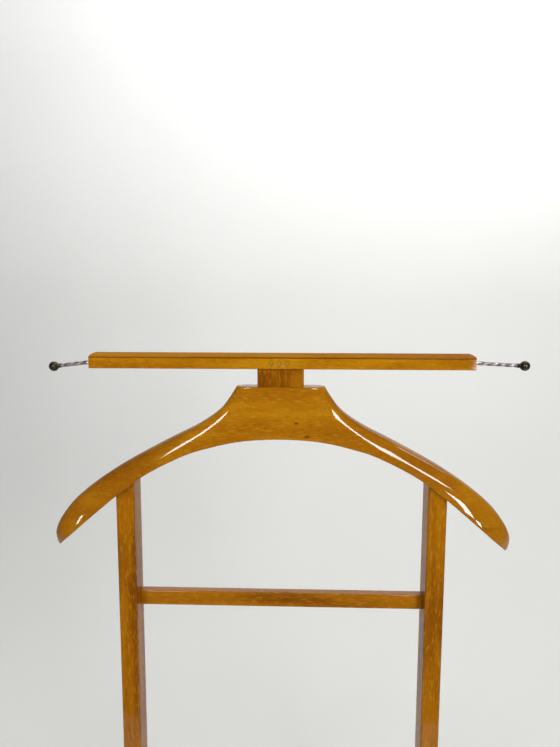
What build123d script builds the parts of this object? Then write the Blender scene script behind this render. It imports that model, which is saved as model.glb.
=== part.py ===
from build123d import *
import os
from math import cos, radians, sin

# Folding wooden valet stand.
# +X is the viewer's right, -Y the front and +Z up. The origin is on the floor, at the
# centre of the stand's footprint. Sizes are in millimetres, angles in degrees.
#
# The front frame leans back, so its pieces are drawn in its own plane: x across, u up
# along the posts from the floor, v forward from the middle of the frame's thickness.

# ---- driving dimensions ----

LEAN = 8.0             # the front frame leans back this far from plumb
SPREAD = 30.0          # angle between the open front and rear frames
FOOT_Y = -167.4        # where the front frame's middle plane meets the floor
GLIDE_THICK = 4.0      # the feet stand this far off the floor, on their glides

POST_WIDE = 18.4       # posts of the front frame: across, front to back, centre to centre
POST_DEEP = 25.4
POST_X = 153.1
POST_EDGE = 2.0        # radius on the long edges of the posts and legs
NECK_U = 1058.0        # the hanger's flat neck top
POST_TOP_U = NECK_U - 92.0

NECK_HALF = 43.0       # half width of the neck's flat top

BLOCK_WIDE = 44.8      # spacer between the hanger and the top rail
BLOCK_TALL = 17.5
BLOCK_DEEP = 14.5

RAIL_HALF = 184.8      # top rail
RAIL_TALL = 14.9       # at the middle of its crowned top
RAIL_SIDE = 11.7       # at its front and back faces
RAIL_DEEP = 24.0
RAIL_EDGE = 1.0
RAIL_CORNER = 4.5

BAR_U = NECK_U - 222.5  # trouser bar, flush with the backs of the posts
BAR_TALL = 15.4
BAR_DEEP = 9.3

STRETCHER_U = 92.0     # low stretcher of the front frame
STRETCHER_TALL = 30.0
STRETCHER_DEEP = 12.0

ROD_HOLE_UP = {-1: 5.2, 1: 6.0}    # a tie rod's height above the rail's underside at its end
ROD_R = 1.95
ROD_REACH = {-1: 39.1, 1: 49.6}    # ball centre from the rail's end, left and right
ROD_DROOP = {-1: 6.8, 1: 3.0}      # slope of each rod below the rail
ROD_MAX_REACH = {-1: 46.0, 1: 55.0}    # pulled out until the collar meets the bush
BALL_R = 5.0
BUSH_R = 3.8
BUSH_LONG = 12.0
COLLAR_R = 2.5
COLLAR_LONG = 4.0
ROD_BORE_R = 2.8
ROD_LEAST_REACH = {-1: 16.0, 1: 8.7}    # pushed in
RUNNING_GAP = 0.05     # radial clearance of a rod or pin in its hole

PIVOT_U = 621.0        # rear legs' pivot
LEG_WIDE = 18.0
LEG_DEEP = 25.4
LEG_GAP = 1.6          # between a post and its leg, filled by a washer
WASHER_THICK = 1.3
BOLT_R = 3.0
DOWEL_DOWN = 508.0     # rear dowel, from the pivot down the legs
REAR_DOWEL_R = 8.0
BOARD_DOWN = 150.0     # board on the backs of the legs
BOARD_TALL = 36.0
BOARD_THICK = 10.0

RACK_U = 151.5         # shoe rack's pivot on the posts
ARM_WIDE = 16.0
ARM_TALL = 22.0
ARM_GAP = 1.0
ARM_OVERHANG = 14.0    # wood past the notch's centre
NOTCH_R = 8.35
NOTCH_FLARE = 40.0     # slope of the notch's front flank, so that the dowel can leave
SLAT_WIDE = 34.0
SLAT_THICK = 6.0
SLAT_FIRST = 36.0      # first slat's centre, from the pivot
SLAT_PITCH = 55.0
SLAT_NAMES = ("front", "second", "third", "rear")

SIDES = {"left": -1, "right": 1}

# ---- frames of reference ----


def on_frame(u, v=0.0):
    """Y and Z of a point u up the front frame and v in front of its middle."""
    a = radians(LEAN)
    return (FOOT_Y + u * sin(a) - v * cos(a), u * cos(a) + v * sin(a))


def frame_plane(v=0.0):
    """Plane of the front frame: x across, y up along the posts, normal forward."""
    a = radians(LEAN)
    return Plane(origin=(0, *on_frame(0, v)), x_dir=(1, 0, 0), z_dir=(0, -cos(a), sin(a)))


def across_frame(u):
    """Plane square to the posts: x across, y backward, normal up along the posts."""
    a = radians(LEAN)
    return Plane(origin=(0, *on_frame(u)), x_dir=(1, 0, 0), z_dir=(0, sin(a), cos(a)))


UP_POSTS = Axis((0, *on_frame(0)), frame_plane().y_dir)

PIVOT_Y, PIVOT_Z = on_frame(PIVOT_U)
RACK_Y, RACK_Z = on_frame(RACK_U)
LEG_SLOPE = radians(SPREAD - LEAN)
DOWN_LEG = (0, sin(LEG_SLOPE), -cos(LEG_SLOPE))
DOWEL_Y = PIVOT_Y + DOWEL_DOWN * sin(LEG_SLOPE)
DOWEL_Z = PIVOT_Z - DOWEL_DOWN * cos(LEG_SLOPE)


def leg_side(x):
    """Side view of a rear leg: x down the leg from the pivot, y backward, normal +X."""
    return Plane(origin=(x, PIVOT_Y, PIVOT_Z), x_dir=DOWN_LEG, z_dir=(1, 0, 0))


def arm_side(x):
    """Side view of a rack arm: x backward from the pivot, y up, normal +X."""
    return Plane(origin=(x, RACK_Y, RACK_Z), x_dir=(0, 1, 0), z_dir=(1, 0, 0))


def save(piece, label):
    piece.part.label = label
    export_step(piece.part, f"parts/{label}.step")


os.makedirs("parts", exist_ok=True)

POST_INNER = POST_X - POST_WIDE / 2
POST_OUTER = POST_X + POST_WIDE / 2
LEG_INNER = POST_OUTER + LEG_GAP
LEG_OUTER = LEG_INNER + LEG_WIDE
ARM_OUTER = POST_INNER - ARM_GAP
ARM_INNER = ARM_OUTER - ARM_WIDE
BAR_V = -POST_DEEP / 2 + BAR_DEEP / 2
RAIL_U = NECK_U + BLOCK_TALL

# ---- front frame: posts, trouser bar, low stretcher ----

POST_DOWEL_R = 4.0     # dowels from the post tops into the hanger
POST_DOWEL_BELOW = 20.0
POST_DOWEL_ABOVE = 8.0
CROSS_DOWEL_R = 2.5    # dowels in the ends of the bar and the stretcher
CROSS_DOWEL_HALF = 12.0
STRETCHER_DOWEL_APART = 16.0
GLIDE_PIN_R = 1.5
GLIDE_PIN_LONG = 12.0
SCREW_HEAD_R = 5.0     # rack pivot screws, sunk in the outer faces of the posts
SCREW_HEAD_DEEP = 3.0
RACK_PIN_R = 2.5

CROSS_DOWELS = [on_frame(BAR_U, BAR_V)]
for end in (-0.5, 0.5):
    CROSS_DOWELS.append(on_frame(STRETCHER_U + end * STRETCHER_DOWEL_APART))
FRONT_FOOT_Y = on_frame(GLIDE_THICK / cos(radians(LEAN)))[0]

for name, side in SIDES.items():
    with BuildPart() as post:
        with BuildSketch(frame_plane()):
            with Locations((side * POST_X, POST_TOP_U / 2)):
                Rectangle(POST_WIDE, POST_TOP_U + 20)
        extrude(amount=POST_DEEP / 2, both=True)
        fillet(post.edges().filter_by(UP_POSTS), POST_EDGE)
        split(bisect_by=Plane.XY.offset(GLIDE_THICK), keep=Keep.TOP)
        split(bisect_by=across_frame(POST_TOP_U), keep=Keep.BOTTOM)
        # pivot bolt, straight through
        with BuildSketch(Plane.YZ.offset(side * POST_INNER)):
            with Locations((PIVOT_Y, PIVOT_Z)):
                Circle(BOLT_R)
        extrude(amount=side * POST_WIDE, mode=Mode.SUBTRACT)
        # rack pivot screw, its head sunk from outside
        with BuildSketch(Plane.YZ.offset(side * POST_INNER)):
            with Locations((RACK_Y, RACK_Z)):
                Circle(RACK_PIN_R)
        extrude(amount=side * POST_WIDE, mode=Mode.SUBTRACT)
        with BuildSketch(Plane.YZ.offset(side * POST_OUTER)):
            with Locations((RACK_Y, RACK_Z)):
                Circle(SCREW_HEAD_R)
        extrude(amount=-side * SCREW_HEAD_DEEP, mode=Mode.SUBTRACT)
        # sockets for the cross pieces' dowels
        with BuildSketch(Plane.YZ.offset(side * POST_INNER)):
            with Locations(*CROSS_DOWELS):
                Circle(CROSS_DOWEL_R)
        extrude(amount=side * CROSS_DOWEL_HALF, mode=Mode.SUBTRACT)
        # socket for the dowel in the top, and for the glide's pin in the foot
        with BuildSketch(across_frame(POST_TOP_U)):
            with Locations((side * POST_X, 0)):
                Circle(POST_DOWEL_R)
        extrude(amount=-POST_DOWEL_BELOW, mode=Mode.SUBTRACT)
        with BuildSketch(Plane.XY.offset(GLIDE_THICK)):
            with Locations((side * POST_X, FRONT_FOOT_Y)):
                Circle(GLIDE_PIN_R)
        extrude(amount=GLIDE_PIN_LONG, mode=Mode.SUBTRACT)
    save(post, f"{name}_post")

with BuildPart() as trouser_bar:
    with BuildSketch(frame_plane(BAR_V)):
        with Locations((0, BAR_U)):
            Rectangle(2 * POST_INNER, BAR_TALL)
    extrude(amount=BAR_DEEP / 2, both=True)
    fillet(trouser_bar.edges().filter_by(Axis.X), 1.2)
    for side in SIDES.values():
        with BuildSketch(Plane.YZ.offset(side * POST_INNER)):
            with Locations(CROSS_DOWELS[0]):
                Circle(CROSS_DOWEL_R)
        extrude(amount=-side * CROSS_DOWEL_HALF, mode=Mode.SUBTRACT)
save(trouser_bar, "trouser_bar")

with BuildPart() as front_stretcher:
    with BuildSketch(frame_plane()):
        with Locations((0, STRETCHER_U)):
            Rectangle(2 * POST_INNER, STRETCHER_TALL)
    extrude(amount=STRETCHER_DEEP / 2, both=True)
    fillet(front_stretcher.edges().filter_by(Axis.X), POST_EDGE)
    for side in SIDES.values():
        with BuildSketch(Plane.YZ.offset(side * POST_INNER)):
            with Locations(*CROSS_DOWELS[1:]):
                Circle(CROSS_DOWEL_R)
        extrude(amount=-side * CROSS_DOWEL_HALF, mode=Mode.SUBTRACT)
save(front_stretcher, "front_stretcher")

for label, centres in (("trouser_bar_dowels", CROSS_DOWELS[:1]),
                       ("front_stretcher_dowels", CROSS_DOWELS[1:])):
    with BuildPart() as dowels:
        for side in SIDES.values():
            with BuildSketch(Plane.YZ.offset(side * POST_INNER)):
                with Locations(*centres):
                    Circle(CROSS_DOWEL_R)
            extrude(amount=CROSS_DOWEL_HALF, both=True)
    save(dowels, label)

# ---- hanger ----

NECK_SLIM = 11.0       # half thickness of the neck
NECK_FOOT = -54.5      # underside where neck and arm meet, against the neck top
ARCH_TOP = -51.4
# Stations along an arm: x, top, underside, half thickness, radius of the upper edges.
ARM_STATIONS = [
    (NECK_HALF, 0.0, NECK_FOOT, NECK_SLIM, 4.0),
    (52.0, -14.5, -56.0, 11.6, 7.0),
    (66.0, -28.7, -59.0, 13.2, 8.0),
    (85.0, -40.6, -64.2, 15.4, 8.0),
    (115.0, -55.6, -76.4, 17.0, 8.0),
    (150.0, -74.4, -99.6, 17.5, 8.0),
    (180.0, -93.8, -123.2, 17.5, 9.0),
    (203.0, -113.0, -144.0, 16.2, 10.0),
    (216.0, -128.5, -155.8, 13.5, 8.0),
    (224.5, -144.0, -157.5, 7.0, 3.0),
]
NECK_DOWEL_R = 3.0     # dowels from the hanger, through the block, into the rail
NECK_DOWEL_X = 12.0
NECK_DOWEL_BELOW = 15.0
NECK_DOWEL_ABOVE = 9.0


def station(x):
    """Plane across an arm at x: its x forward, its y up, measured from the neck top."""
    a = radians(LEAN)
    return Plane(origin=(x, *on_frame(NECK_U)), x_dir=(0, -cos(a), sin(a)), z_dir=(-1, 0, 0))


with BuildPart() as hanger:
    with BuildSketch(frame_plane()):
        with BuildLine():
            Polyline((-NECK_HALF, NECK_U + NECK_FOOT), (-NECK_HALF, NECK_U),
                     (NECK_HALF, NECK_U), (NECK_HALF, NECK_U + NECK_FOOT))
            ThreePointArc((NECK_HALF, NECK_U + NECK_FOOT), (0, NECK_U + ARCH_TOP),
                          (-NECK_HALF, NECK_U + NECK_FOOT))
        make_face()
    extrude(amount=NECK_SLIM, both=True)
    fillet(hanger.edges().filter_by(Axis.X).group_by(Axis.Z)[-2:], 0.8)
    for side in SIDES.values():
        for x, top, bottom, half, edge in ARM_STATIONS:
            with BuildSketch(station(side * x)) as cut:
                with Locations((0, (top + bottom) / 2)):
                    Rectangle(2 * half, top - bottom)
                fillet(cut.vertices().group_by(Axis.Y)[-1], edge)
        loft()
    # housings for the posts, and sockets for the dowels
    for side in SIDES.values():
        with BuildSketch(frame_plane()):
            with Locations((side * POST_X, POST_TOP_U - 25)):
                Rectangle(POST_WIDE, 50)
        extrude(amount=POST_DEEP / 2, both=True, mode=Mode.SUBTRACT)
    with BuildSketch(across_frame(POST_TOP_U)):
        with Locations((-POST_X, 0), (POST_X, 0)):
            Circle(POST_DOWEL_R)
    extrude(amount=POST_DOWEL_ABOVE, mode=Mode.SUBTRACT)
    with BuildSketch(across_frame(NECK_U)):
        with Locations((-NECK_DOWEL_X, 0), (NECK_DOWEL_X, 0)):
            Circle(NECK_DOWEL_R)
    extrude(amount=-NECK_DOWEL_BELOW, mode=Mode.SUBTRACT)
save(hanger, "hanger")

with BuildPart() as post_dowels:
    with BuildSketch(across_frame(POST_TOP_U - POST_DOWEL_BELOW)):
        with Locations((-POST_X, 0), (POST_X, 0)):
            Circle(POST_DOWEL_R)
    extrude(amount=POST_DOWEL_BELOW + POST_DOWEL_ABOVE)
save(post_dowels, "post_dowels")

# ---- neck block and top rail ----

with BuildPart() as neck_block:
    with BuildSketch(across_frame(NECK_U)):
        Rectangle(BLOCK_WIDE, BLOCK_DEEP)
    extrude(amount=BLOCK_TALL)
    fillet(neck_block.edges().filter_by(UP_POSTS), 1.0)
    with BuildSketch(across_frame(NECK_U)):
        with Locations((-NECK_DOWEL_X, 0), (NECK_DOWEL_X, 0)):
            Circle(NECK_DOWEL_R)
    extrude(amount=BLOCK_TALL, mode=Mode.SUBTRACT)
save(neck_block, "neck_block")

with BuildPart() as neck_dowels:
    with BuildSketch(across_frame(NECK_U - NECK_DOWEL_BELOW)):
        with Locations((-NECK_DOWEL_X, 0), (NECK_DOWEL_X, 0)):
            Circle(NECK_DOWEL_R)
    extrude(amount=NECK_DOWEL_BELOW + BLOCK_TALL + NECK_DOWEL_ABOVE)
save(neck_dowels, "neck_dowels")

# from a ball's centre to its rod's inner end
ROD_TAIL = {s: ROD_MAX_REACH[s] + BUSH_LONG + 0.3 + COLLAR_LONG for s in ROD_MAX_REACH}


def rod_plane(side, out):
    """Plane square to a tie rod, `out` past the rail's end, its normal pointing outward."""
    a, d = radians(LEAN), radians(ROD_DROOP[side])
    y, z = on_frame(RAIL_U + ROD_HOLE_UP[side] - out * sin(d))
    x = side * (RAIL_HALF + out * cos(d))
    outward = (side * cos(d), -sin(d) * sin(a), -sin(d) * cos(a))
    return Plane(origin=(x, y, z), x_dir=(0, -cos(a), sin(a)), z_dir=outward)


with BuildPart() as top_rail:
    with BuildSketch(station(0)) as profile:
        with BuildLine():
            Polyline((-RAIL_DEEP / 2, BLOCK_TALL + RAIL_SIDE), (-RAIL_DEEP / 2, BLOCK_TALL),
                     (RAIL_DEEP / 2, BLOCK_TALL), (RAIL_DEEP / 2, BLOCK_TALL + RAIL_SIDE))
            ThreePointArc((RAIL_DEEP / 2, BLOCK_TALL + RAIL_SIDE), (0, BLOCK_TALL + RAIL_TALL),
                          (-RAIL_DEEP / 2, BLOCK_TALL + RAIL_SIDE))
        make_face()
        fillet(profile.vertices(), RAIL_EDGE)
    extrude(amount=RAIL_HALF, both=True)
    with BuildSketch(frame_plane()) as face:
        with Locations((0, RAIL_U + RAIL_TALL / 2)):
            Rectangle(2 * RAIL_HALF, RAIL_TALL)
        fillet(face.vertices().group_by(Axis.Y)[-1], RAIL_CORNER)
    extrude(amount=RAIL_DEEP, both=True, mode=Mode.INTERSECT)
    with BuildSketch(across_frame(RAIL_U)):
        with Locations((-NECK_DOWEL_X, 0), (NECK_DOWEL_X, 0)):
            Circle(NECK_DOWEL_R)
    extrude(amount=NECK_DOWEL_ABOVE, mode=Mode.SUBTRACT)
    for side in SIDES.values():
        with BuildSketch(rod_plane(side, 2)):
            Circle(BUSH_R)
        extrude(amount=-2 - BUSH_LONG, mode=Mode.SUBTRACT)
        with BuildSketch(rod_plane(side, 0)):
            Circle(ROD_BORE_R)
        extrude(amount=ROD_LEAST_REACH[side] - ROD_TAIL[side] - 1.5, mode=Mode.SUBTRACT)
save(top_rail, "top_rail")

# ---- tie rods, which pull out of the rail's ends ----

SOCKET = 2.0           # a rod stops this far short of its ball's centre

for name, side in SIDES.items():
    reach = ROD_REACH[side]
    with BuildPart() as bush:
        with BuildSketch(rod_plane(side, 0)):
            Circle(BUSH_R)
            Circle(ROD_R + RUNNING_GAP, mode=Mode.SUBTRACT)
        extrude(amount=-BUSH_LONG)
    save(bush, f"{name}_rod_bush")

    with BuildPart() as rod:
        with BuildSketch(rod_plane(side, reach - SOCKET)):
            Circle(ROD_R)
        extrude(amount=SOCKET - ROD_TAIL[side])
    save(rod, f"{name}_tie_rod")

    with BuildPart() as ball:
        with Locations(rod_plane(side, reach)):
            Sphere(BALL_R)
        with BuildSketch(rod_plane(side, reach - SOCKET)):
            Circle(ROD_R)
        extrude(amount=-BALL_R, mode=Mode.SUBTRACT)
    save(ball, f"{name}_rod_ball")

    with BuildPart() as collar:
        with BuildSketch(rod_plane(side, reach - ROD_TAIL[side])):
            Circle(COLLAR_R)
            Circle(ROD_R, mode=Mode.SUBTRACT)
        extrude(amount=COLLAR_LONG)
    save(collar, f"{name}_rod_collar")

# ---- rear frame: legs, dowel and board ----

DOWEL_TENON = 12.0
SCREW_R = 2.0
SCREW_LONG = 24.0
BOARD_SCREW_APART = 18.0
FOOT_LONG = 720.0
LEG_MID = (LEG_INNER + LEG_OUTER) / 2
REAR_FOOT_Y = PIVOT_Y + (PIVOT_Z - GLIDE_THICK) * sin(LEG_SLOPE) / cos(LEG_SLOPE)
BOARD_BACK = LEG_DEEP / 2 + BOARD_THICK
BOARD_SCREWS = {}
for side in SIDES.values():
    BOARD_SCREWS[side] = []
    for end in (-0.5, 0.5):
        down = BOARD_DOWN + end * BOARD_SCREW_APART
        centre = leg_side(side * LEG_MID).from_local_coords((down, BOARD_BACK, 0))
        BOARD_SCREWS[side].append(Plane(origin=centre, z_dir=leg_side(0).y_dir))

for name, side in SIDES.items():
    with BuildPart() as leg:
        with BuildSketch(leg_side(side * LEG_INNER)):
            Circle(LEG_DEEP / 2)
            with Locations((FOOT_LONG / 2, 0)):
                Rectangle(FOOT_LONG, LEG_DEEP)
        extrude(amount=side * LEG_WIDE)
        fillet(leg.edges().filter_by(Axis.X, reverse=True), POST_EDGE)
        split(bisect_by=Plane.XY.offset(GLIDE_THICK), keep=Keep.TOP)
        with BuildSketch(leg_side(side * LEG_INNER)):
            Circle(BOLT_R + RUNNING_GAP)
        extrude(amount=side * LEG_WIDE, mode=Mode.SUBTRACT)
        with BuildSketch(leg_side(side * LEG_INNER)):
            with Locations((DOWEL_DOWN, 0)):
                Circle(REAR_DOWEL_R)
        extrude(amount=side * DOWEL_TENON, mode=Mode.SUBTRACT)
        with BuildSketch(Plane.XY.offset(GLIDE_THICK)):
            with Locations((side * LEG_MID, REAR_FOOT_Y)):
                Circle(GLIDE_PIN_R)
        extrude(amount=GLIDE_PIN_LONG, mode=Mode.SUBTRACT)
        for place in BOARD_SCREWS[side]:
            with BuildSketch(place):
                Circle(SCREW_R)
            extrude(amount=-SCREW_LONG, mode=Mode.SUBTRACT)
    save(leg, f"{name}_rear_leg")

with BuildPart() as rear_dowel:
    with BuildSketch(leg_side(-LEG_INNER - DOWEL_TENON)):
        with Locations((DOWEL_DOWN, 0)):
            Circle(REAR_DOWEL_R)
    extrude(amount=2 * (LEG_INNER + DOWEL_TENON))
save(rear_dowel, "rear_dowel")

with BuildPart() as rear_board:
    with BuildSketch(leg_side(-LEG_OUTER)) as end_grain:
        with Locations((BOARD_DOWN, LEG_DEEP / 2 + BOARD_THICK / 2)):
            Rectangle(BOARD_TALL, BOARD_THICK)
    extrude(amount=2 * LEG_OUTER)
    fillet(rear_board.edges().filter_by(Axis.X), POST_EDGE)
    for place in BOARD_SCREWS[-1] + BOARD_SCREWS[1]:
        with BuildSketch(place):
            Circle(SCREW_R)
        extrude(amount=-BOARD_THICK, mode=Mode.SUBTRACT)
save(rear_board, "rear_board")

HEAD_R = 4.0
HEAD_TALL = 2.0


def screws(places, long):
    """Round-headed wood screws, one at each plane, its head on the plane."""
    with BuildPart() as group:
        for place in places:
            with BuildSketch(place):
                Circle(HEAD_R)
            extrude(amount=HEAD_TALL)
            rims = group.edges().filter_by(GeomType.CIRCLE)
            top = place.offset(HEAD_TALL).origin
            fillet(rims.sort_by_distance(top)[0], HEAD_TALL - 0.3)
            with BuildSketch(place):
                Circle(SCREW_R)
            extrude(amount=-long)
    return group


save(screws(BOARD_SCREWS[-1] + BOARD_SCREWS[1], SCREW_LONG), "rear_board_screws")

# ---- pivot bolts of the rear legs ----

BOLT_HEAD_R = 7.0
BOLT_HEAD_TALL = 3.0
WASHER_R = 9.0
OUTER_WASHER_THICK = 1.2
OUTER_WASHER_GAP = 0.3
NUT_ACROSS = 10.0
NUT_TALL = 5.0
NUT_DOME = 4.0
NUT_X = LEG_OUTER + OUTER_WASHER_GAP + OUTER_WASHER_THICK
BOLT_END_X = NUT_X + 6.0
PIVOT = (PIVOT_Y, PIVOT_Z)

with BuildPart() as pivot_bolts:
    for side in SIDES.values():
        with BuildSketch(Plane.YZ.offset(side * POST_INNER)):
            with Locations(PIVOT):
                Circle(BOLT_HEAD_R)
        extrude(amount=-side * BOLT_HEAD_TALL)
    inner_rims = pivot_bolts.edges().sort_by(lambda edge: abs(edge.center().X))[:2]
    fillet(inner_rims, BOLT_HEAD_TALL - 0.6)
    for side in SIDES.values():
        with BuildSketch(Plane.YZ.offset(side * POST_INNER)):
            with Locations(PIVOT):
                Circle(BOLT_R)
        extrude(amount=side * (BOLT_END_X - POST_INNER))
save(pivot_bolts, "pivot_bolts")

for label, x, thick, outer in (("pivot_inner_washers", POST_OUTER, WASHER_THICK, WASHER_R),
                               ("pivot_outer_washers", NUT_X - OUTER_WASHER_THICK,
                                OUTER_WASHER_THICK, WASHER_R - 1)):
    with BuildPart() as washers:
        for side in SIDES.values():
            with BuildSketch(Plane.YZ.offset(side * x)):
                with Locations(PIVOT):
                    Circle(outer)
                    Circle(BOLT_R, mode=Mode.SUBTRACT)
            extrude(amount=side * thick)
    save(washers, label)

with BuildPart() as pivot_nuts:
    for side in SIDES.values():
        with BuildSketch(Plane.YZ.offset(side * NUT_X)):
            with Locations(PIVOT):
                RegularPolygon(NUT_ACROSS / 2, 6, major_radius=False)
        extrude(amount=side * NUT_TALL)
        with BuildSketch(Plane.YZ.offset(side * (NUT_X + NUT_TALL))):
            with Locations(PIVOT):
                Circle(NUT_ACROSS / 2 - 0.2)
        extrude(amount=side * NUT_DOME)
    crowns = pivot_nuts.edges().filter_by(GeomType.CIRCLE).sort_by(lambda e: abs(e.center().X))
    fillet(crowns[-2:], NUT_DOME - 0.4)
    for side in SIDES.values():
        with BuildSketch(Plane.YZ.offset(side * NUT_X)):
            with Locations(PIVOT):
                Circle(BOLT_R)
        extrude(amount=side * (BOLT_END_X - NUT_X), mode=Mode.SUBTRACT)
save(pivot_nuts, "pivot_nuts")

# ---- glides under the four feet ----

GLIDE_R = 7.5
FEET = {"front": (POST_X, FRONT_FOOT_Y), "rear": (LEG_MID, REAR_FOOT_Y)}

for end, (x, y) in FEET.items():
    for name, side in SIDES.items():
        with BuildPart() as glide:
            with BuildSketch():
                with Locations((side * x, y)):
                    Circle(GLIDE_R)
            extrude(amount=GLIDE_THICK)
            fillet(glide.edges().sort_by(Axis.Z)[0], 1.2)
            with BuildSketch(Plane.XY.offset(GLIDE_THICK)):
                with Locations((side * x, y)):
                    Circle(GLIDE_PIN_R)
            extrude(amount=GLIDE_PIN_LONG)
        save(glide, f"{name}_{end}_glide")

# ---- shoe rack ----

PIN_IN_ARM = 13.0
NOTCH = (DOWEL_Y - RACK_Y, DOWEL_Z - RACK_Z)
ARM_LONG = NOTCH[0] + ARM_OVERHANG
ARM_MID = (ARM_INNER + ARM_OUTER) / 2
SLATS = [SLAT_FIRST + i * SLAT_PITCH for i in range(len(SLAT_NAMES))]
SLAT_MID_UP = (ARM_TALL - SLAT_THICK) / 2

# The notch's flared front flank runs from its tangent on the round to below the arm.
flare = radians(NOTCH_FLARE)
FLANK_TOP = (NOTCH[0] - NOTCH_R * cos(flare), NOTCH[1] + NOTCH_R * sin(flare))
FLANK_DROP = FLANK_TOP[1] + ARM_TALL / 2 + 1
FLANK_FOOT = (FLANK_TOP[0] - FLANK_DROP * sin(flare) / cos(flare), FLANK_TOP[1] - FLANK_DROP)

for name, side in SIDES.items():
    with BuildPart() as arm:
        with BuildSketch(arm_side(side * ARM_INNER)) as face:
            Circle(ARM_TALL / 2)
            with Locations((ARM_LONG / 2, 0)):
                Rectangle(ARM_LONG, ARM_TALL)
            fillet(face.vertices().group_by(Axis.X)[-1], 3)
            with Locations(NOTCH):
                Circle(NOTCH_R, mode=Mode.SUBTRACT)
            with BuildLine():
                Polyline(NOTCH, FLANK_TOP, FLANK_FOOT, (NOTCH[0] + NOTCH_R, FLANK_FOOT[1]),
                         (NOTCH[0] + NOTCH_R, NOTCH[1]), close=True)
            make_face(mode=Mode.SUBTRACT)
            with Locations(*[(x, SLAT_MID_UP) for x in SLATS]):
                Rectangle(SLAT_WIDE, SLAT_THICK, mode=Mode.SUBTRACT)
        extrude(amount=side * ARM_WIDE)
        with BuildSketch(arm_side(side * ARM_OUTER)):
            Circle(RACK_PIN_R + RUNNING_GAP)
        extrude(amount=-side * (PIN_IN_ARM + 0.5), mode=Mode.SUBTRACT)
        with BuildSketch(Plane.XY.offset(RACK_Z + ARM_TALL / 2)):
            with Locations(*[(side * ARM_MID, RACK_Y + x) for x in SLATS]):
                Circle(SCREW_R)
        extrude(amount=-SLAT_THICK - 12, mode=Mode.SUBTRACT)
    save(arm, f"{name}_rack_arm")

for label, x in zip(SLAT_NAMES, SLATS):
    with BuildPart() as slat:
        with BuildSketch(arm_side(-ARM_OUTER)):
            with Locations((x, SLAT_MID_UP)):
                Rectangle(SLAT_WIDE, SLAT_THICK)
        extrude(amount=2 * ARM_OUTER)
        fillet(slat.edges().filter_by(Axis.X).group_by(Axis.Z)[-1], 1.5)
        with BuildSketch(Plane.XY.offset(RACK_Z + ARM_TALL / 2)):
            with Locations((-ARM_MID, RACK_Y + x), (ARM_MID, RACK_Y + x)):
                Circle(SCREW_R)
        extrude(amount=-SLAT_THICK, mode=Mode.SUBTRACT)
    save(slat, f"{label}_rack_slat")

SLAT_SCREWS = []
for x in SLATS:
    for side in SIDES.values():
        head = (side * ARM_MID, RACK_Y + x, RACK_Z + ARM_TALL / 2)
        SLAT_SCREWS.append(Plane(origin=head, z_dir=(0, 0, 1)))
save(screws(SLAT_SCREWS, SLAT_THICK + 10), "rack_slat_screws")

with BuildPart() as rack_pins:
    for side in SIDES.values():
        with BuildSketch(Plane.YZ.offset(side * POST_OUTER)):
            with Locations((RACK_Y, RACK_Z)):
                Circle(SCREW_HEAD_R)
        extrude(amount=-side * SCREW_HEAD_DEEP)
        with BuildSketch(Plane.YZ.offset(side * (ARM_OUTER - PIN_IN_ARM))):
            with Locations((RACK_Y, RACK_Z)):
                Circle(RACK_PIN_R)
        extrude(amount=side * (POST_OUTER - SCREW_HEAD_DEEP - ARM_OUTER + PIN_IN_ARM))
save(rack_pins, "rack_pins")

with BuildPart() as rack_washers:
    for side in SIDES.values():
        with BuildSketch(Plane.YZ.offset(side * POST_INNER)):
            with Locations((RACK_Y, RACK_Z)):
                Circle(ARM_TALL / 2 - 4)
                Circle(RACK_PIN_R, mode=Mode.SUBTRACT)
        extrude(amount=-side * (ARM_GAP - 0.4))
save(rack_washers, "rack_washers")
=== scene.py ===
# %% [markdown]
# # A folding valet stand in lacquered beech
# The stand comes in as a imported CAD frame: every post, leg, slat and bolt is already a
# mesh in its right place, in metres. This file gives those pieces their finish, and
# makes again the few shapes that the drawing leaves plain: the carved hanger, and the
# twisted tie rods with their turned balls.
# Each piece that is made here rides on the body that its CAD twin belongs to, so the
# stand still folds and the rods still slide.

# %% Load the frame
from math import atan2, cos, degrees, hypot, pi, radians, sin, sqrt

import bmesh
import bpy
from mathutils import Matrix, Vector


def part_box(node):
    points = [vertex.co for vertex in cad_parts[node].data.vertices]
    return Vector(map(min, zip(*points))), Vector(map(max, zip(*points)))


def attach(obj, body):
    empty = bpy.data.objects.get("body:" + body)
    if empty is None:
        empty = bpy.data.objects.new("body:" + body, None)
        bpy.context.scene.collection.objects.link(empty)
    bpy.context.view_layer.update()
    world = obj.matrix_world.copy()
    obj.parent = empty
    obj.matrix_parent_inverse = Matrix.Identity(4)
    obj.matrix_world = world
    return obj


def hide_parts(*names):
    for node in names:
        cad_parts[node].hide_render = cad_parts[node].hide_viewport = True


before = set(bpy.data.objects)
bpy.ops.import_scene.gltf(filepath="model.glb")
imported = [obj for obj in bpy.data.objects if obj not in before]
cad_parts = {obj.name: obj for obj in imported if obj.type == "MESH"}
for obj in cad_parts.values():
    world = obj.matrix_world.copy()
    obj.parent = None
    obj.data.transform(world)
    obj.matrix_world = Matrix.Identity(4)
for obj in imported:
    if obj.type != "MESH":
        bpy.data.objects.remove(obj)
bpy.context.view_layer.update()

# %% [markdown]
# ## The front frame's own directions
# The front frame leans back eight degrees, and the hanger, the rail and the rods lie in
# its plane. Working in that plane keeps every shape square: x runs across, u runs up
# along the posts and v comes forward out of the frame. Everything on the front frame is
# then measured from one place, the middle of the hanger's neck, where its block stands.

# %% Directions and the places that everything else is measured from
LEAN = radians(8.0)
UP = Vector((0.0, sin(LEAN), cos(LEAN)))
FORWARD = Vector((0.0, -cos(LEAN), sin(LEAN)))
ACROSS = Vector((1.0, 0.0, 0.0))
MM = 0.001

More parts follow.
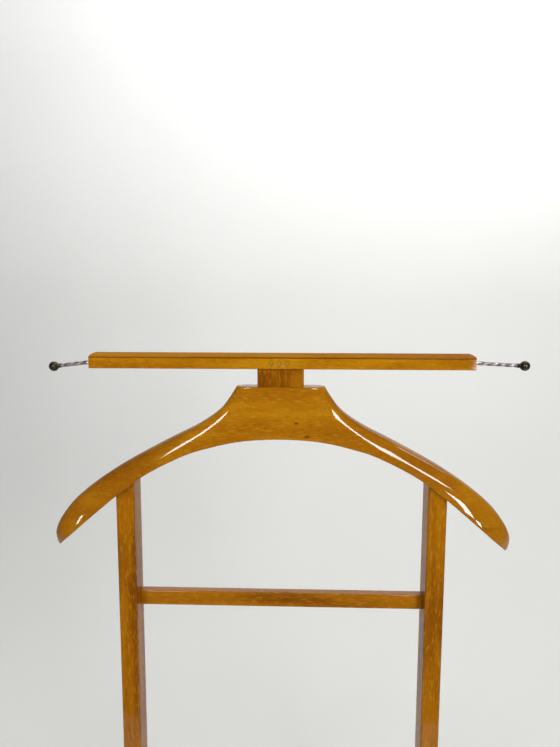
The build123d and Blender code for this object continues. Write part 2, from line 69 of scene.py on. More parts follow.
block_low, block_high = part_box("neck_block")
BLOCK_CENTRE = (Vector(block_low) + Vector(block_high)) / 2
BLOCK_TALL = 17.5 * MM
NECK_TOP = BLOCK_CENTRE - UP * (BLOCK_TALL / 2)


def in_frame(x, u, v=0.0):
    """A point of the front frame, measured from the middle of the hanger's neck top."""
    return NECK_TOP + ACROSS * x + UP * u + FORWARD * v


print("neck top at", [round(c, 4) for c in NECK_TOP])

# %% [markdown]
# ## The camera
# A stand like this is looked at from arm's length, a little above the rail, so the
# camera is about half a metre in front of the hanger and looks slightly down. A wide
# lens takes in the rail and the upper half of the posts. The aim is written in the
# frame's own directions, which makes it easy to see: almost straight back, and a little
# downwards.

# %% Camera
LENS = 26.94
SENSOR = 36.0
STANDPOINT = in_frame(0.0156, 0.0738, 0.5413)
look = ACROSS * -0.0301 + UP * -0.1130 - FORWARD * 0.9931
top = ACROSS * -0.0060 + UP * 0.9936 - FORWARD * 0.1127

camera_data = bpy.data.cameras.new("camera")
camera_data.lens = LENS
camera_data.sensor_width = SENSOR
camera = bpy.data.objects.new("camera", camera_data)
bpy.context.scene.collection.objects.link(camera)
bpy.context.scene.camera = camera

look.normalize()
side = look.cross(top).normalized()
top = side.cross(look)
turn = Matrix((side, top, -look)).transposed()
camera.matrix_world = Matrix.Translation(STANDPOINT) @ turn.to_4x4()
print("camera", round(degrees(atan2(-look.z, hypot(look.x, look.y))), 1), "degrees downwards")

# %% [markdown]
# ## Shader maths
# A material is a web of small nodes. Written as plain sums it stays readable, so one
# class wraps a socket and lets Python's operators add the Math nodes. Everything that
# isn't a sum comes from one method of the material: it takes the node's type, then its
# settings, then what goes into its sockets.


# %% Sockets that can be added and multiplied
class Value:
    """One output socket of a material's nodes."""

    def __init__(self, finish, socket):
        self.finish = finish
        self.socket = socket

    def maths(self, operation, first, second):
        settings = {"operation": operation}
        return self.finish.node("ShaderNodeMath", settings, {0: first, 1: second})

    def __add__(self, other):
        return self.maths("ADD", self, other)

    __radd__ = __add__

    def __sub__(self, other):
        return self.maths("SUBTRACT", self, other)

    def __rsub__(self, other):
        return self.maths("SUBTRACT", other, self)

    def __mul__(self, other):
        return self.maths("MULTIPLY", self, other)

    __rmul__ = __mul__

    def least(self, other):
        return self.maths("MINIMUM", self, other)

    def size(self):
        return self.maths("ABSOLUTE", self, 0.0)


class Finish:
    """A material and the nodes that make it."""

    def __init__(self, name):
        self.material = bpy.data.materials.new(name)
        self.material.use_nodes = True
        self.tree = self.material.node_tree
        self.shader = self.tree.nodes["Principled BSDF"]

    def node(self, kind, settings=None, sockets=None, out=0):
        """Adds a node, sets it up, feeds its sockets and gives one of its outputs."""
        made = self.tree.nodes.new(kind)
        for key, value in (settings or {}).items():
            setattr(made, key, value)
        for key, value in (sockets or {}).items():
            self.feed(made.inputs[key], value)
        return Value(self, made.outputs[out])

    def feed(self, socket, value):
        """Links a Value to a socket, or sets the socket to a plain number or colour."""
        if isinstance(value, Value):
            self.tree.links.new(value.socket, socket)
        else:
            socket.default_value = value

    def set(self, **inputs):
        """Sets the shader's own sockets: base_color feeds Base Color."""
        for key, value in inputs.items():
            words = [w.upper() if w == "ior" else w.capitalize() for w in key.split("_")]
            self.feed(self.shader.inputs[" ".join(words)], value)

    def place(self, turn=(0, 0, 0), scale=(1, 1, 1), shift=(0, 0, 0)):
        """Object coordinates, turned first and then stretched."""
        raw = self.node("ShaderNodeTexCoord", out="Object")
        turned = self.node("ShaderNodeMapping", {"vector_type": "POINT"},
                           {"Vector": raw, "Rotation": turn, "Location": shift})
        return self.node("ShaderNodeMapping", {"vector_type": "POINT"},
                         {"Vector": turned, "Scale": scale})

    def noise(self, where, scale, detail=2.0, roughness=0.5, distortion=0.0):
        """Soft noise from 0 to 1, with `scale` cells to the unit of its place."""
        return self.node("ShaderNodeTexNoise", {}, {
            "Vector": where, "Scale": scale, "Detail": detail, "Roughness": roughness,
            "Distortion": distortion})

    def step(self, value, low, high, to_low=0.0, to_high=1.0):
        """A smooth rise from to_low to to_high while value goes from low to high."""
        return self.node("ShaderNodeMapRange", {"interpolation_type": "SMOOTHSTEP"}, {
            "Value": value, "From Min": low, "From Max": high,
            "To Min": to_low, "To Max": to_high})

    def mix(self, amount, first, second):
        """A colour between two colours."""
        settings = {"data_type": "RGBA"}
        return self.node("ShaderNodeMix", settings, {0: amount, 6: first, 7: second}, out=2)

    def bump(self, height, strength, distance):
        """A normal that follows a height, as fine relief."""
        return self.node("ShaderNodeBump", {}, {
            "Height": height, "Strength": strength, "Distance": distance})


print("shader kit ready")

# %% [markdown]
# ## Lacquered beech
# Beech is pale and even, with short dark flecks where the rays are cut across, soft
# growth bands, and very fine fibres. Here it lies under an amber lacquer: the clear coat
# gives sharp white highlights, and the wood's own pattern shows through it. The wood
# under the coat has no gloss of its own, so that the lacquer is the only mirror.
# The pattern is solid, worked out in space along each piece's grain, so it runs over the
# edges as it does in real timber. Stretched noises give the growth bands, the cloudy
# stain, the fibres, the dark flecks and the golden rays between them; a little relief
# from the fibres breaks up the highlights' edges.

# %% Beech
AMBER_PALE = (0.400, 0.168, 0.0030, 1.0)
AMBER = (0.300, 0.106, 0.0015, 1.0)
AMBER_DEEP = (0.165, 0.046, 0.0010, 1.0)
AMBER_GLINT = (0.520, 0.245, 0.0120, 1.0)
FLECK = (0.105, 0.028, 0.0008, 1.0)
KNOT = (0.060, 0.014, 0.001, 1.0)
KNOT_STRETCH = (0.55, 1.0, 1.0)
LACQUER_ROUGH = 0.04
# waves to the metre along the grain and across it
BANDS = (5.0, 60.0, 60.0)
CLOUDS = (7.0, 22.0, 22.0)
FIBRES = (45.0, 900.0, 900.0)
FLECKS = (190.0, 1100.0, 1100.0)
RAYS = (130.0, 620.0, 620.0)
PEEL = (120.0, 120.0, 120.0)
WEAR = (40.0, 40.0, 40.0)
RAW_FIBRES = (120.0, 900.0, 900.0)
RAW_PALE = (0.62, 0.43, 0.25, 1.0)
RAW_DEEP = (0.46, 0.28, 0.14, 1.0)


def beech(name, turn=(0, 0, 0), shift=(0, 0, 0), tone=0.0, knots=(), gloss=1.0,
          marks=None):
    """Beech with its grain along x after `turn`. tone darkens it, knots are (place, r),
    gloss is the lacquer's weight, and marks is a function that draws on the colour."""
    wood = Finish(name)
    bands = wood.noise(wood.place(turn, BANDS, shift), 1.0, 2.0, 0.5, 0.6)
    clouds = wood.noise(wood.place(turn, CLOUDS, shift), 1.0, 2.0, 0.6)
    fibres = wood.noise(wood.place(turn, FIBRES, shift), 1.0, 3.0, 0.65)
    flecks = wood.noise(wood.place(turn, FLECKS, shift), 1.0, 1.0, 0.4)
    rays = wood.noise(wood.place(turn, RAYS, shift), 1.0, 2.0, 0.5, 0.4)

    depth = wood.step(bands, 0.30, 0.72) * 0.40 + wood.step(clouds, 0.30, 0.70) * 0.45
    depth = depth + (fibres - 0.5) * 0.55 + tone
    colour = wood.mix(wood.step(depth, 0.05, 0.55), AMBER_PALE, AMBER)
    colour = wood.mix(wood.step(depth, 0.55, 1.15), colour, AMBER_DEEP)
    colour = wood.mix(wood.step(flecks, 0.58, 0.74) * 0.38, colour, FLECK)
    colour = wood.mix(wood.step(rays, 0.50, 0.72) * 0.36, colour, AMBER_GLINT)
    for spot, radius in knots:
        away = wood.node("ShaderNodeVectorMath", {"operation": "DISTANCE"},
                         {0: wood.place(scale=KNOT_STRETCH), 1: spot}, out="Value")
        edge = away + (fibres - 0.5) * radius * 2.0
        core = wood.step(edge, 0.0, radius * 2.0, 0.85, 0.0)
        colour = wood.mix(core, colour, KNOT)
    wood.set(specular_ior_level=0.0, coat_weight=gloss, coat_roughness=LACQUER_ROUGH)
    if marks:
        colour = marks(wood, colour)

    peel = wood.noise(wood.place(turn, PEEL), 1.0, 1.0, 0.5)
    wear = wood.noise(wood.place(turn, WEAR, shift), 1.0, 3.0, 0.6)
    wood.set(base_color=colour)
    wood.set(roughness=wood.step(wear, 0.3, 0.7, 0.45, 0.6))
    wood.set(normal=wood.bump(fibres * 0.35 + flecks * 0.25 + peel, 0.10, 0.0004))
    return wood.material


def raw_beech():
    """The bare dowels inside the joints, fluted and unlacquered."""
    wood = Finish("raw_beech")
    fibres = wood.noise(wood.place(scale=RAW_FIBRES), 1.0, 3.0, 0.65)
    wood.set(base_color=wood.mix(wood.step(fibres, 0.3, 0.7), RAW_PALE, RAW_DEEP))
    wood.set(roughness=wood.step(fibres, 0.3, 0.7, 0.6, 0.8))
    wood.set(normal=wood.bump(fibres, 0.4, 0.0003))
    return wood.material


# %% [markdown]
# Stain sinks deeper where a saw has cut across the fibres. The hanger's grain runs
# The hanger's grain runs straight across it while its arms slope down. The arms are painted
# darker than the neck, from the end of the neck outwards: this is painted shade, where the
# sloping arms turn away from the lamps. The mask is the distance from the middle.
# The rail has two marks of its own. A dark line is painted along its front arris, where the
# straight face meets the crowned top: a painted dark reflection of the dim room in the
# rounded edge. Near the middle of that face there is a small stamped ornament, three plain
# lozenges in dull green gold, worn thin. Both are masks worked out from the distance to a
# point of the face: a lozenge is where the distances across and up, each over its half size,
# add up to one. The crowned top is painted a little darker, as painted shade, because the
# lamps stand in front of it. Where keys and coins are put down it has lost most of its
# lacquer, so the coat is thin there.

# %% Painted shade and marks on the hanger and the rail
RAIL_FACE = in_frame(-1.3 * MM, BLOCK_TALL + 5.6 * MM, 12.0 * MM)
ARRIS_UP = 5.3 * MM
ARRIS_HALF = 0.75 * MM
LOZENGE_WIDE = 2.8 * MM
LOZENGE_TALL = 4.7 * MM
LOZENGE_APART = 7.4 * MM
ARRIS_DARK_REFLECTION = (0.085, 0.026, 0.0008, 1.0)
GREEN_GOLD = (0.105, 0.115, 0.022, 1.0)
NECK_ENDS = 0.060
ARMS_DARK = 0.150
FACE_COAT = 0.30
TOP_COAT = 0.10


def hanger_painted_shade(wood, colour):
    """Painted shade on the arms, darker from the end of the neck outwards."""
    out = wood.node("ShaderNodeSeparateXYZ", {}, {"Vector": wood.place()}, out="X").size()
    # painted shade: the arms darken from the end of the neck outwards
    return wood.mix(wood.step(out, NECK_ENDS, ARMS_DARK, 0.0, 0.36), colour, AMBER_DEEP)


def rail_marks(wood, colour):
    """Painted dark reflection on the arris, painted shade on top, three lozenges on the front."""
    face = tuple(-(Matrix.Rotation(LEAN, 3, "X") @ RAIL_FACE))
    spot = wood.place(turn=(LEAN, 0, 0), shift=face)
    across, back, up = (wood.node("ShaderNodeSeparateXYZ", {}, {"Vector": spot}, out=way)
                        for way in "XYZ")
    on_front = wood.step(back.size(), 1.2 * MM, 2.4 * MM, 1.0, 0.0)
    # painted dark reflection: a thin dark line along the arris, on the front face only
    line = wood.step((up - ARRIS_UP).size(), ARRIS_HALF * 0.5, ARRIS_HALF * 1.5, 0.75, 0.0)
    colour = wood.mix(line * on_front, colour, ARRIS_DARK_REFLECTION)
    # painted shade: the crowned top is darker than the front face, as it turns away from the lamps
    top = wood.step(up - ARRIS_UP, 0.0, 0.8 * MM)
    colour = wood.mix(top * 0.30, colour, AMBER_DEEP)
    wood.set(coat_weight=FACE_COAT - top * (FACE_COAT - TOP_COAT))

    nearest = across.size().least((across.size() - LOZENGE_APART).size())
    level = nearest * (1 / LOZENGE_WIDE) + up.size() * (1 / LOZENGE_TALL)
    outline = wood.step((level - 0.72).size(), 0.10, 0.34, 1.0, 0.0)
    worn = wood.step(wood.noise(wood.place(), 900.0, 2.0, 0.5), 0.35, 0.60, 0.35, 0.80)
    return wood.mix(outline * on_front * worn, colour, GREEN_GOLD)


print("ornament", round(LOZENGE_APART / MM, 1), "mm from lozenge to lozenge")

# %% [markdown]
# ## One grain direction for each kind of piece
# Timber is cut with its grain along each piece's length, because that is its strong
# way. Rails, bars and slats run across the stand, posts and legs run up it, and the
# rack's arms run front to back. The turn brings each run onto the pattern's x. A shift
# gives each piece its own part of the tree, so no two posts match.

# %% Woods
SPREAD = radians(30.0)
LEG_LEAN = SPREAD - LEAN


def along(direction):
    """The turn that brings a direction onto x, for a Mapping node."""
    return tuple(direction.rotation_difference(ACROSS).to_euler("XYZ"))


LEG_UP = Vector((0.0, -sin(LEG_LEAN), cos(LEG_LEAN)))
BACKWARD = Vector((0.0, 1.0, 0.0))
KNOTS = [(in_frame(15.2 * MM, -35.2 * MM, 11.0 * MM), 1.0 * MM),
         (in_frame(25.6 * MM, -48.4 * MM, 11.0 * MM), 1.3 * MM)]
KNOT_SPOTS = [(tuple(a * b for a, b in zip(spot, KNOT_STRETCH)), radius)
              for spot, radius in KNOTS]
woods = {
    # the hanger's arms carry painted shade
    "hanger": beech("hanger_beech", shift=(0.3, 0.1, 0.2), knots=KNOT_SPOTS, gloss=0.75,
                    marks=hanger_painted_shade),
    "top_rail": beech("rail_beech", shift=(1.3, 0.4, 0.1), tone=-0.1, marks=rail_marks),
    # the block's deep tone is painted shadow: it stands under the overhanging rail
    "neck_block": beech("block_beech", along(UP), (0.7, 0.9, 0.3), 0.50, gloss=0.5),
    "trouser_bar": beech("bar_beech", shift=(2.1, 0.3, 0.8), tone=0.25),
    # the posts' deep tones are painted shade, deeper on the left post as the light comes from the
    # right
    "left_post": beech("left_post_beech", along(UP), (0.2, 1.7, 0.6), 0.44, gloss=0.6),
    "right_post": beech("right_post_beech", along(UP), (0.9, 0.2, 1.6), 0.34, gloss=0.6),
    "front_stretcher": beech("stretcher_beech", shift=(0.1, 2.2, 0.4), tone=0.05),
    "left_rear_leg": beech("left_leg_beech", along(LEG_UP), (1.9, 0.7, 0.2), 0.1),
    "right_rear_leg": beech("right_leg_beech", along(LEG_UP), (0.4, 0.3, 2.4), 0.05),
    "rear_dowel": beech("dowel_beech", shift=(0.5, 1.1, 1.9), tone=0.15),
    "rear_board": beech("board_beech", shift=(2.7, 0.6, 0.9), tone=0.0),
    "left_rack_arm": beech("left_arm_beech", along(BACKWARD), (0.6, 0.5, 0.4), 0.1),
    "right_rack_arm": beech("right_arm_beech", along(BACKWARD), (1.6, 1.5, 0.1), 0.1),
}
for number, name in enumerate(("front", "second", "third", "rear")):
    shift = (0.8 * number, 0.37 * number + 0.2, 1.3)
    woods[f"{name}_rack_slat"] = beech(f"{name}_slat_beech", shift=shift, tone=0.04 * number)
raw = raw_beech()
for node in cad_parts:
    if node.endswith("dowels"):
        woods[node] = raw
print(len(woods), "pieces of wood")

# %% [markdown]
# ## Metals and plastics
# The rods are nickel that has gone dark, the balls are brass under a nearly black
# patina that has rubbed through on the crowns, and the screws and bushes are plain
# brass. Patina is a mask: one noise decides where bare metal shows, and the same mask
# drives colour and roughness together, because worn metal is both brighter and smoother.


# %% Metals and plastics
def worn_metal(name, bare, dark, wear_from, wear_to, grain, rough):
    """Metal whose dark skin has worn through in patches."""
    metal = Finish(name)
    patches = metal.noise(metal.place(), 260.0, 3.0, 0.6)
    fine = metal.noise(metal.place(), grain, 2.0, 0.6)
    worn = metal.step(patches + (fine - 0.5) * 0.25, wear_from, wear_to)
    metal.set(base_color=metal.mix(worn, dark, bare))
    metal.set(metallic=metal.step(worn, 0.0, 1.0, 0.75, 1.0))
    metal.set(roughness=metal.step(fine, 0.3, 0.7, rough * 0.8, rough * 1.3) - worn * rough * 0.35)
    metal.set(normal=metal.bump(fine, 0.12, 0.0002))
    return metal.material


def plastic(name, colour, darker, rough):
    """Moulded plastic: a fine even texture, dustier in its hollows."""
    made = Finish(name)
    grain = made.noise(made.place(), 2200.0, 2.0, 0.5)
    dust = made.noise(made.place(), 90.0, 3.0, 0.6)
    made.set(base_color=made.mix(made.step(dust, 0.4, 0.75), colour, darker))
    made.set(roughness=made.step(grain, 0.3, 0.7, rough * 0.85, rough * 1.15))
    made.set(normal=made.bump(grain, 0.25, 0.0001))
    return made.material


rod_metal = worn_metal("dark_nickel", (0.36, 0.33, 0.34, 1), (0.17, 0.145, 0.15, 1),
                       0.45, 0.70, 900.0, 0.36)
ball_metal = worn_metal("patinated_brass", (0.16, 0.13, 0.075, 1), (0.034, 0.028, 0.018, 1),
                        0.52, 0.80, 900.0, 0.22)
brass = worn_metal("plain_brass", (0.78, 0.56, 0.26, 1), (0.42, 0.27, 0.11, 1),
                   0.30, 0.60, 1200.0, 0.32)
nickel = worn_metal("nickel_plate", (0.68, 0.66, 0.62, 1), (0.42, 0.40, 0.37, 1),
                    0.25, 0.50, 1500.0, 0.22)
nylon = plastic("white_nylon", (0.78, 0.75, 0.68, 1), (0.55, 0.51, 0.44, 1), 0.45)
black = plastic("black_plastic", (0.020, 0.019, 0.018, 1), (0.055, 0.050, 0.045, 1), 0.42)
print("metals and plastics ready")

# %% [markdown]
# ## Finishing the CAD pieces
# A piece whose drawn shape is right keeps its CAD mesh, and only its material changes.

# %% Materials on the CAD pieces
HARDWARE = {
    "rod_bush": brass, "screws": brass, "rack_pins": nickel, "pivot_bolts": nickel,
    "pivot_nuts": nickel, "outer_washers": nickel, "inner_washers": nylon,
    "rack_washers": nylon, "glide": black, "tie_rod": rod_metal,
    "rod_collar": rod_metal, "rod_ball": ball_metal,
}


def finish_of(node):
    """The material that a CAD piece gets, by its name."""
    if node in woods:
        return woods[node]
    return next(m for ending, m in HARDWARE.items() if node.endswith(ending))


for node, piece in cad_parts.items():
    for slot in piece.material_slots:
        slot.material = finish_of(node)
print("finished", len(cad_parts), "pieces")

# %% [markdown]
# ## The hanger
# The hanger is one piece of beech, sawn to its outline and then worked over with a
# spokeshave: its shoulders are rounded like a coat's, its underside is left flat, and
# the rounding runs up both flanks of the neck until the square-cut top stops it.
# It could be sculpted, or built from a subdivided cage, but a carved outline needs to
# stay where it is drawn. So a flat grid is laid out first, one way along the arms and
# the other way round the section, and each of its points is then moved to its place by
# the outline and by the rounding. The edge where the grid meets itself is merged.

# %% The hanger's outline
NECK_HALF = 43.0
# Millimetres from the neck top's middle: a point of the upper outline, the point of the
# underside that lies square across the arm from it, and the share of the full thickness.
ARM = [
    ((43.0, 0.0), (35.0, -53.3), 1.0),
    ((50.0, -11.2), (43.0, -54.5), 1.0),
    ((60.0, -23.4), (51.5, -55.9), 1.0),
    ((80.0, -37.4), (67.0, -59.4), 1.0),
    ((110.0, -52.8), (93.0, -67.0), 1.0),
    ((150.0, -74.3), (129.0, -84.8), 1.0),
    ((180.0, -93.6), (157.5, -105.2), 1.0),
    ((204.0, -113.4), (184.0, -127.3), 0.98),
    ((218.5, -132.2), (205.5, -146.2), 0.88),
    ((224.3, -145.0), (215.5, -155.0), 0.66),
    ((224.9, -152.5), (219.6, -159.2), 0.40),
    ((223.9, -158.0), (221.4, -161.0), 0.14),
]
STEPS = 6


def smooth_run(points, steps):
    """Points along a smooth curve through the given ones."""
    run = []
    last = len(points) - 1
    for i in range(last):
        before, a = Vector(points[max(i - 1, 0)]), Vector(points[i])
        b, after = Vector(points[i + 1]), Vector(points[min(i + 2, last)])
        for k in range(steps):
            t = k / steps
            run.append(0.5 * (2 * a + (b - before) * t + (2 * before - 5 * a + 4 * b - after) * t**2
                              + (3 * a - 3 * b + after - before) * t**3))
    run.append(Vector(points[last]))
    return run


upper = smooth_run([row[0] for row in ARM], STEPS)
lower = smooth_run([row[1] for row in ARM], STEPS)
shares = smooth_run([(row[2], 0.0) for row in ARM], STEPS)
NECK_COLUMNS = 8
ARCH_TOP = -51.4
ARCH_FALL = ARCH_TOP - ARM[0][1][1]
neck_parts = [i / NECK_COLUMNS for i in range(NECK_COLUMNS)]
neck_upper = [Vector((NECK_HALF * part, 0.0)) for part in neck_parts]
neck_lower = [Vector((ARM[0][1][0] * part, ARCH_TOP - ARCH_FALL * part**2))
              for part in neck_parts]
right_upper = neck_upper + upper
right_lower = neck_lower + lower
right_share = [1.0] * NECK_COLUMNS + [share.x for share in shares]
print(len(right_upper), "columns on each side")

# %% [markdown]
# The rounding depends on how far a point lies in from the flank's outline. Beside the
# neck it is a soft round of a finger's width; towards the shoulders it takes the whole
# height and nearly the whole thickness, so an arm's section is like half an egg. The ends
# come a little forward, as a jacket's shoulders do.

# %% The hanger's thickness and rounding
EDGE_EASE = 0.8
LOWER_EASE = 1.0
SWEEP = 7.0
NECK_HALF_THICK = 11.0
ARM_HALF_THICK = 17.5
ROUND_STOPS = 12
FLAT_STOPS = 4
EASE_STOPS = 3


def rise(x, low, high):
    """0 below low, 1 above high, and smooth between."""
    t = min(max((x - low) / (high - low), 0.0), 1.0)
    return t * t * (3 - 2 * t)


def sweep(x):
    """How far the arms come forward at x."""
    return SWEEP * rise(x, 115.0, 225.0)


def rounding(x):
    """The reach of the rounding down the face, and its share of the half thickness."""
    return 12.5 + 12.0 * rise(x, 55.0, 160.0), 0.74 + 0.20 * rise(x, 60.0, 170.0)


def from_flank(point):
    """Distance of a point of the elevation from the shoulder's outline."""
    best = 1e9
    for a, b in zip(upper, upper[1:]):
        run = b - a
        t = min(max((point - a).dot(run) / run.dot(run), 0.0), 1.0)
        best = min(best, (point - a - run * t).length)
    return best


def quarter(distance, reach):
    """How much a quarter round takes off at a distance from its edge, from 1 to 0."""
    inward = min(max(distance / reach, 0.0), 1.0)
    return 1.0 - sqrt(1.0 - (1.0 - inward) ** 2)


def face_of(point, up_from_edge, share):
    """How far the hanger's face stands from its middle plane at a point."""
    fuller = (ARM_HALF_THICK - NECK_HALF_THICK) * rise(point.x, 35.0, 125.0)
    full = (NECK_HALF_THICK + fuller) * share
    reach, depth = rounding(point.x)
    cut = full * depth * quarter(from_flank(point), reach)
    cut += min(LOWER_EASE, full / 2) * quarter(up_from_edge, LOWER_EASE)
    if point.x < NECK_HALF:
        cut += EDGE_EASE * quarter(-point.y, EDGE_EASE)
    return max(full - cut, 0.0)


def section(top, bottom, share):
    """Half a section: (elevation, forward) from the underside's middle to the top's."""
    across = top - bottom
    length = across.length
    reach = min(rounding(top.x)[0] * 1.1, length - 2 * LOWER_EASE)
    reach = max(reach, length / 2)
    flat_from = min(LOWER_EASE, length / 4)
    ups = [flat_from * (1 - cos(pi / 2 * k / EASE_STOPS)) for k in range(EASE_STOPS + 1)]
    ups += [flat_from + (length - reach - flat_from) * k / FLAT_STOPS
            for k in range(1, FLAT_STOPS + 1)]
    ups += [length - reach * (1 - sin(pi / 2 * k / ROUND_STOPS))
            for k in range(1, ROUND_STOPS + 1)]
    places = [bottom + across * (up / length) for up in ups]
    face = [(at, face_of(at, up, share)) for at, up in zip(places, ups)]
    inside = [(bottom, 0.0), (bottom, face[0][1] / 2)]
    return inside + face + [(top, face[-1][1] / 2), (top, 0.0)]


half_sections = [section(*row) for row in zip(right_upper, right_lower, right_share)]
PER_HALF = len(half_sections[0])
print(PER_HALF, "points in half a section")

# %% The hanger's mesh
TOUCHING = 1e-6
COLUMNS = 2 * len(right_upper) - 1
AROUND = 2 * (PER_HALF - 1)


def hanger_point(column, row):
    """Where a point of the grid goes: column 0 is the left end, row 0 the underside."""
    middle = len(right_upper) - 1
    side_way = 1 if column >= middle else -1
    front_way = 1 if row <= PER_HALF - 1 else -1
    step = row if front_way > 0 else AROUND - row
    at, forward = half_sections[abs(column - middle)][step]
    ahead = sweep(at.x) + front_way * forward
    return in_frame(side_way * at.x * MM, at.y * MM, ahead * MM)


def clean(bm):
    """Merges doubles, closes holes and turns all faces outward."""
    bmesh.ops.remove_doubles(bm, verts=bm.verts, dist=TOUCHING)
    bmesh.ops.dissolve_degenerate(bm, edges=bm.edges, dist=TOUCHING)
    open_edges = [e for e in bm.edges if e.is_boundary]
    bmesh.ops.holes_fill(bm, edges=open_edges, sides=0)
    bmesh.ops.recalc_face_normals(bm, faces=bm.faces)


def piece_from(bm, name, material, sharp=35.0):
    """A finished object from a bmesh: smooth faces, with edges sharper than `sharp` kept."""
    mesh = bpy.data.meshes.new(name)
    for face in bm.faces:
        face.smooth = True
    for edge in bm.edges:
        if len(edge.link_faces) == 2 and edge.calc_face_angle(0.0) > radians(sharp):
            edge.smooth = False
    bm.to_mesh(mesh)
    bm.free()
    mesh.materials.append(material)
    made = bpy.data.objects.new(name, mesh)
    bpy.context.scene.collection.objects.link(made)
    print(name, len(mesh.polygons), "faces")
    return made


bm = bmesh.new()
bmesh.ops.create_grid(bm, x_segments=COLUMNS - 1, y_segments=AROUND, size=0.5)
for vert in bm.verts:
    column = round((vert.co.x + 0.5) * (COLUMNS - 1))
    row = round((vert.co.y + 0.5) * AROUND) % AROUND
    vert.co = hanger_point(column, row)
clean(bm)
hanger = piece_from(bm, "carved_hanger", woods["hanger"])
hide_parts("hanger")
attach(hanger, "front_frame")

# %% [markdown]
# ## The tie rods and their balls
# Each rod is square bar that was twisted while hot, which stiffens it and looks like
# rope. It starts as one square loop with its corners cut, and the loop is extruded along
# the rod, turned a little at every step. The ball is turned in one piece with the short
# neck that the rod is fixed into: half its outline is drawn as an edge, and spun round.
# The direction of each rod is read from the CAD: its ball and its bush lie on one line.

# %% Tools for round pieces
STEPS_PER_TURN = 40

def centre_of(node):
    """The middle of a CAD node's box."""
    low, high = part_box(node)
    return (Vector(low) + Vector(high)) / 2


def onto(bm, start, direction):
    """Brings a shape that was made along z to its place, pointing along a direction."""
    turn = Vector((0, 0, 1)).rotation_difference(direction).to_matrix().to_4x4()
    bmesh.ops.transform(bm, matrix=Matrix.Translation(start) @ turn, verts=bm.verts)


def turned(outline, segments=48):
    """A turned shape about z, from (radius, height) points that begin and end on it."""
    bm = bmesh.new()
    verts = [bm.verts.new((radius, 0.0, height)) for radius, height in outline]
    edges = [bm.edges.new(pair) for pair in zip(verts, verts[1:])]
    bmesh.ops.spin(bm, geom=verts + edges, cent=(0, 0, 0), axis=(0, 0, 1), angle=2 * pi,
                   steps=segments, use_merge=True)
    clean(bm)
    return bm


def twisted_bar(length, side, corner, pitch):
    """A square bar along z, twisted once in every pitch."""
    bm = bmesh.new()
    bmesh.ops.create_grid(bm, x_segments=1, y_segments=1, size=side / 2)
    bmesh.ops.bevel(bm, geom=bm.verts[:], offset=corner, offset_type="OFFSET", segments=2,
                    profile=0.5, affect="VERTICES", material=-1)
    steps = round(length / pitch * STEPS_PER_TURN)
    turn = Matrix.Rotation(2 * pi * length / pitch / steps, 4, "Z")
    lift = Matrix.Translation((0, 0, length / steps))
    edges = bm.edges[:]
    for _ in range(steps):
        made = bmesh.ops.extrude_edge_only(bm, edges=edges)["geom"]
        verts = [g for g in made if isinstance(g, bmesh.types.BMVert)]
        edges = [g for g in made if isinstance(g, bmesh.types.BMEdge)
                 and all(v in verts for v in g.verts)]
        bmesh.ops.transform(bm, matrix=lift @ turn, verts=verts)
    clean(bm)
    return bm


print("turning and twisting ready")

# %% Rods and balls
BALL_STEPS = 32
ROD_SIDE = 3.10 * MM
ROD_CORNER = 0.60 * MM
ROD_PITCH = 34.0 * MM
ROD_LONG = {"left": 59.5 * MM, "right": 68.5 * MM}
BALL_R = 4.85 * MM
NECK_R = 2.15 * MM
NECK_LONG = 3.4 * MM

meets = sqrt(BALL_R**2 - NECK_R**2)
angles = [k * pi / BALL_STEPS for k in range(BALL_STEPS)]
ball_outline = [(BALL_R * sin(angle), -BALL_R * cos(angle)) for angle in angles
                if -BALL_R * cos(angle) < meets]
ball_outline += [(NECK_R * 1.12, meets * 1.02), (NECK_R, meets * 1.12),
                 (NECK_R, meets + NECK_LONG * 0.80), (NECK_R * 0.88, meets + NECK_LONG * 0.95),
                 (NECK_R * 0.70, meets + NECK_LONG), (0.0, meets + NECK_LONG)]

for hand in ("left", "right"):
    ball_at = centre_of(f"{hand}_rod_ball")
    inward = (centre_of(f"{hand}_rod_bush") - ball_at).normalized()
    bm = turned(ball_outline)
    onto(bm, ball_at, inward)
    ball = piece_from(bm, f"{hand}_turned_ball", ball_metal, sharp=50.0)
    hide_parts(f"{hand}_rod_ball", f"{hand}_rod_collar")
    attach(ball, f"{hand}_rod")

    bm = twisted_bar(ROD_LONG[hand], ROD_SIDE, ROD_CORNER, ROD_PITCH)
    onto(bm, ball_at + inward * (BALL_R * 0.5), inward)
    rod = piece_from(bm, f"{hand}_twisted_rod", rod_metal, sharp=30.0)
    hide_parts(f"{hand}_tie_rod")
    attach(rod, f"{hand}_rod")

# %% [markdown]
# ## The studio
# A pale floor curves up into a pale wall well behind the stand. Painted shade darkens it low
# down, so that the feet don't float in white. Rectangular lamps stand for the windows of a
# room: each long highlight on the lacquer is the picture of one of them. Two stand on the
# left and three on the right, a strip hangs over the front, and the wall has a lamp of its
# own, so that it stays clean behind the stand. A lamp's place is given as a direction from
# the chest of the stand, which is how a highlight is moved: turn the lamp by twice the angle
# that the highlight should turn through.

# %% Floor, wall and lights
PAINT_PALE = (0.90, 0.90, 0.88, 1)
PAINT_DULL = (0.86, 0.86, 0.84, 1)
LOW_SHADE = (0.45, 0.45, 0.43, 1)
studio = Finish("studio_paint")
mottle = studio.noise(studio.place(), 3.0, 3.0, 0.5)
height = studio.node("ShaderNodeSeparateXYZ", {}, {"Vector": studio.place()}, out="Z")
paint = studio.mix(mottle, PAINT_DULL, PAINT_PALE)
# painted shade: darker towards the floor, lighter up the wall
paint = studio.mix(studio.step(height, 0.0, 1.4, 0.42, 0.0), paint, LOW_SHADE)
studio.set(base_color=paint)
studio.set(roughness=studio.step(mottle, 0.3, 0.7, 0.75, 0.9))

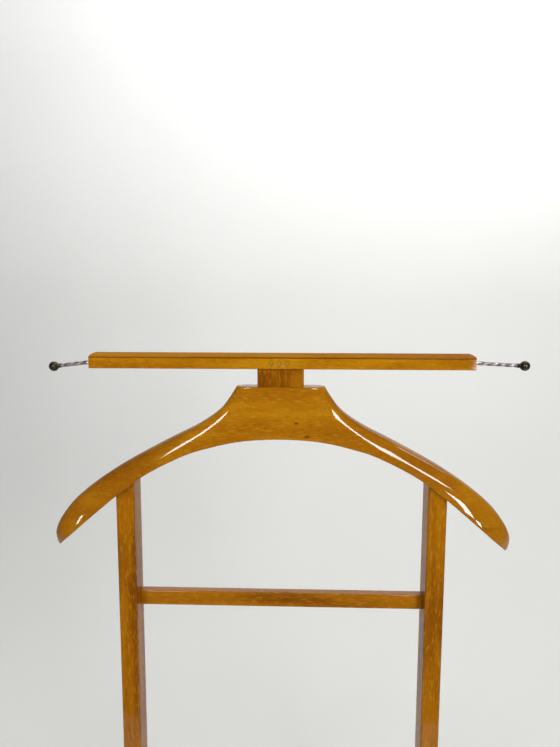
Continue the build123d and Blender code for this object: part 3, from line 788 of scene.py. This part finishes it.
WALL_Y = 1.9
WALL_TALL = 4.0
WALL_HALF = 9.0
FLOOR_FRONT = -1.3
COVE = 0.9
bm = bmesh.new()
bmesh.ops.create_grid(bm, x_segments=1, y_segments=1, size=1.0)
for vert in bm.verts:
    vert.co = Vector((vert.co.x * WALL_HALF, WALL_Y if vert.co.y > 0 else FLOOR_FRONT, 0.0))
back = [e for e in bm.edges if all(v.co.y > 0 for v in e.verts)]
raised = bmesh.ops.extrude_edge_only(bm, edges=back)
wall_top = [g for g in raised["geom"] if isinstance(g, bmesh.types.BMVert)]
bmesh.ops.translate(bm, verts=wall_top, vec=(0.0, 0.0, WALL_TALL))
fold = [e for e in bm.edges if all(v.co.y > 0 and v.co.z < TOUCHING for v in e.verts)]
bmesh.ops.bevel(bm, geom=fold, offset=COVE, offset_type="OFFSET", segments=16, profile=0.5,
                affect="EDGES", material=-1)
backdrop = piece_from(bm, "backdrop", studio.material, sharp=80.0)


def soft_box(name, place, aim, width, height, power, roll=0.0):
    """A rectangular lamp at a place, facing a point and rolled by some degrees."""
    lamp = bpy.data.lights.new(name, "AREA")
    lamp.shape = "RECTANGLE"
    lamp.size = width
    lamp.size_y = height
    lamp.energy = power
    holder = bpy.data.objects.new(name, lamp)
    bpy.context.scene.collection.objects.link(holder)
    holder.location = place
    facing = (Vector(aim) - Vector(place)).to_track_quat("-Z", "Y").to_matrix()
    holder.rotation_euler = (facing @ Matrix.Rotation(radians(roll), 3, "Z")).to_euler()
    print(name, power, "W")


CHEST = (0.0, -0.05, 0.98)


def towards(azimuth, elevation, distance):
    """A place seen from the chest in a direction: 0 is straight ahead, plus is right."""
    az, el = radians(azimuth), radians(elevation)
    return Vector(CHEST) + distance * Vector((sin(az) * cos(el), -cos(az) * cos(el), sin(el)))


WINDOWS = 1.9
soft_box("left_window", towards(-25, 25, WINDOWS), CHEST, 0.62, 0.30, 14)
soft_box("left_low_window", towards(-37, -5, WINDOWS), CHEST, 0.14, 0.22, 2.4)
soft_box("right_window", towards(25.5, 23.5, WINDOWS), CHEST, 0.85, 0.26, 18, roll=20)
soft_box("right_side_window", towards(24.5, 3, WINDOWS), CHEST, 0.14, 0.56, 7, roll=-20)
soft_box("right_low_window", towards(26.5, -8, WINDOWS), CHEST, 0.12, 0.12, 1.6)
soft_box("ceiling", (0.1, -1.2, 2.9), CHEST, 2.0, 0.5, 6)
soft_box("wall_wash", (1.0, 0.45, 3.2), (0.7, WALL_Y, 2.15), 3.6, 0.5, 82)

world = bpy.data.worlds.new("studio_air")
bpy.context.scene.world = world
world.use_nodes = True
air = world.node_tree.nodes["Background"]
air.inputs["Color"].default_value = (0.9, 0.92, 1.0, 1)
air.inputs["Strength"].default_value = 0.07
bpy.context.scene.view_settings.view_transform = "Standard"
print("studio ready")
